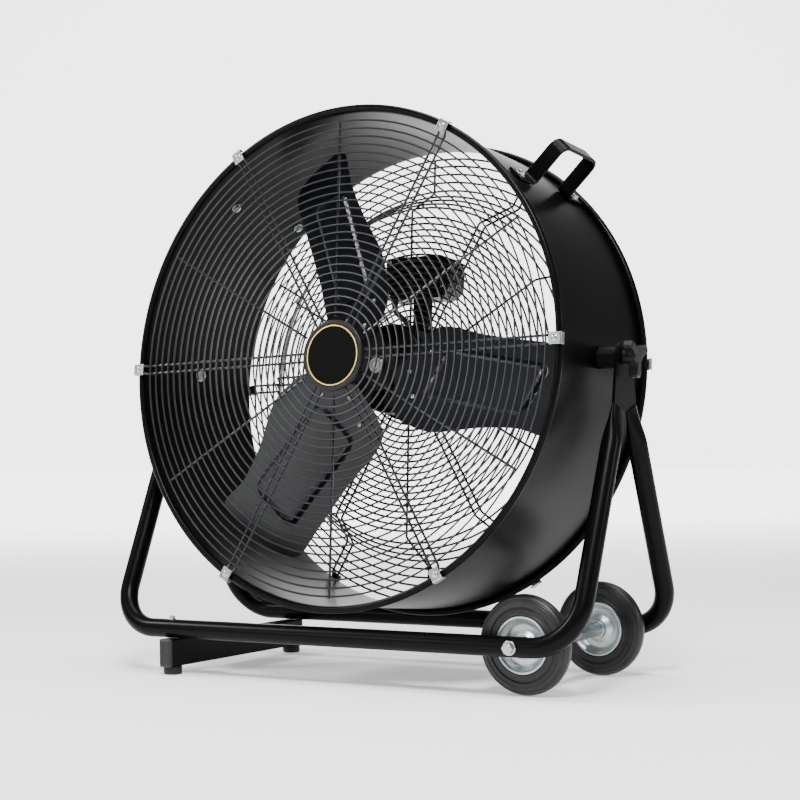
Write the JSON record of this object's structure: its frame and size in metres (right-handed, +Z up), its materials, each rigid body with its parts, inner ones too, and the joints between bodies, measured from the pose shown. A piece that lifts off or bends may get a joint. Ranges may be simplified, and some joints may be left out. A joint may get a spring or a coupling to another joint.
{
  "type": "drum fan",
  "caption": "Portable drum fan: a short steel drum with wire guards and a three-bladed impeller, tilting between bent-tube legs on a wheeled floor stand.",
  "frame": {"origin": "on the floor, below the pivot axis and midway between the two side plates", "axes": "+Z up; the air leaves towards -Y; +X runs along the pivot axis towards the wheels"},
  "size_m": [0.7494, 0.3192, 0.7473],
  "materials": {
    "black_paint": "semi-gloss black powder coat",
    "guard_steel": "gloss black coating on steel wire and turned steel",
    "blade_grey": "satin charcoal paint on pressed sheet",
    "plastic": "black moulded plastic",
    "label": "glossy black label",
    "rubber": "black rubber",
    "tyre": "black solid tyre",
    "zinc": "bright zinc-plated steel"
  },
  "bodies": {
    "stand": {"front_tube": "black_paint", "rear_tube": "black_paint", "plate_right": "black_paint", "plate_left": "black_paint", "crossbar": "black_paint", "crossbar_cap_front": "plastic", "crossbar_cap_rear": "plastic", "foot_front": "rubber", "foot_rear": "rubber", "crossbar_bolt_front": "zinc", "crossbar_bolt_rear": "zinc", "axle": "zinc", "axle_spacer": "zinc", "axle_collar": "zinc", "axle_nut": "zinc"},
    "drum": {"drum_shell": "black_paint", "pivot_spacer_right": "guard_steel", "pivot_bolt_right": "zinc", "pivot_spacer_left": "guard_steel", "pivot_bolt_left": "zinc", "handle_right": "black_paint", "handle_bolt_right_front": "zinc", "handle_bolt_right_rear": "zinc", "handle_left": "black_paint", "handle_bolt_left_front": "zinc", "handle_bolt_left_rear": "zinc", "front_guard": "guard_steel", "rear_guard": "guard_steel", "clip_front_1": "zinc", "clip_front_2": "zinc", "clip_front_3": "zinc", "clip_front_4": "zinc", "clip_front_5": "zinc", "clip_front_6": "zinc", "clip_rear_1": "zinc", "clip_rear_2": "zinc", "clip_rear_3": "zinc", "clip_rear_4": "zinc", "clip_rear_5": "zinc", "clip_rear_6": "zinc", "badge_cap": "plastic", "badge_label": "label", "motor_body": "black_paint", "motor_mount": "black_paint", "box_cover": "plastic", "control_box": "plastic", "motor_lead": "rubber", "cord_gland": "plastic"},
    "impeller": {"blade_1": "blade_grey", "blade_2": "blade_grey", "blade_3": "blade_grey", "impeller_hub": "guard_steel", "motor_shaft": "zinc"},
    "wheel_front": {"wheel_front_rim": "zinc", "wheel_front_tyre": "tyre"},
    "wheel_rear": {"wheel_rear_rim": "zinc", "wheel_rear_tyre": "tyre"},
    "knob_right": {"clamp_knob_right": "plastic"},
    "knob_left": {"clamp_knob_left": "plastic"},
    "speed_knob": {"speed_knob": "plastic"}
  },
  "joints": [
    {"name": "drum_tilt", "type": "hinge", "parent": "stand", "child": "drum", "pos_m": [0, 0, 0.4074], "axis": [1, 0, 0], "range_deg": [-84.2, 95.8]},
    {"name": "impeller_spin", "type": "hinge", "parent": "drum", "child": "impeller", "pos_m": [0, 0, 0.4074], "axis": [0, 0.9949, -0.1011], "continuous": true},
    {"name": "wheel_front_spin", "type": "hinge", "parent": "stand", "child": "wheel_front", "pos_m": [0.2697, -0.114, 0.061], "axis": [0, 1, 0], "continuous": true},
    {"name": "wheel_rear_spin", "type": "hinge", "parent": "stand", "child": "wheel_rear", "pos_m": [0.2697, 0.087, 0.061], "axis": [0, 1, 0], "continuous": true},
    {"name": "clamp_right_turn", "type": "hinge", "parent": "drum", "child": "knob_right", "pos_m": [0.365, 0, 0.4074], "axis": [1, 0, 0], "range_deg": [0, 350]},
    {"name": "clamp_left_turn", "type": "hinge", "parent": "drum", "child": "knob_left", "pos_m": [-0.365, 0, 0.4074], "axis": [-1, 0, 0], "range_deg": [0, 350]},
    {"name": "speed_turn", "type": "hinge", "parent": "drum", "child": "speed_knob", "pos_m": [-0.016, 0.14272, 0.52608], "axis": [0, 0.9949, -0.1011], "range_deg": [0, 180]}
  ]
}
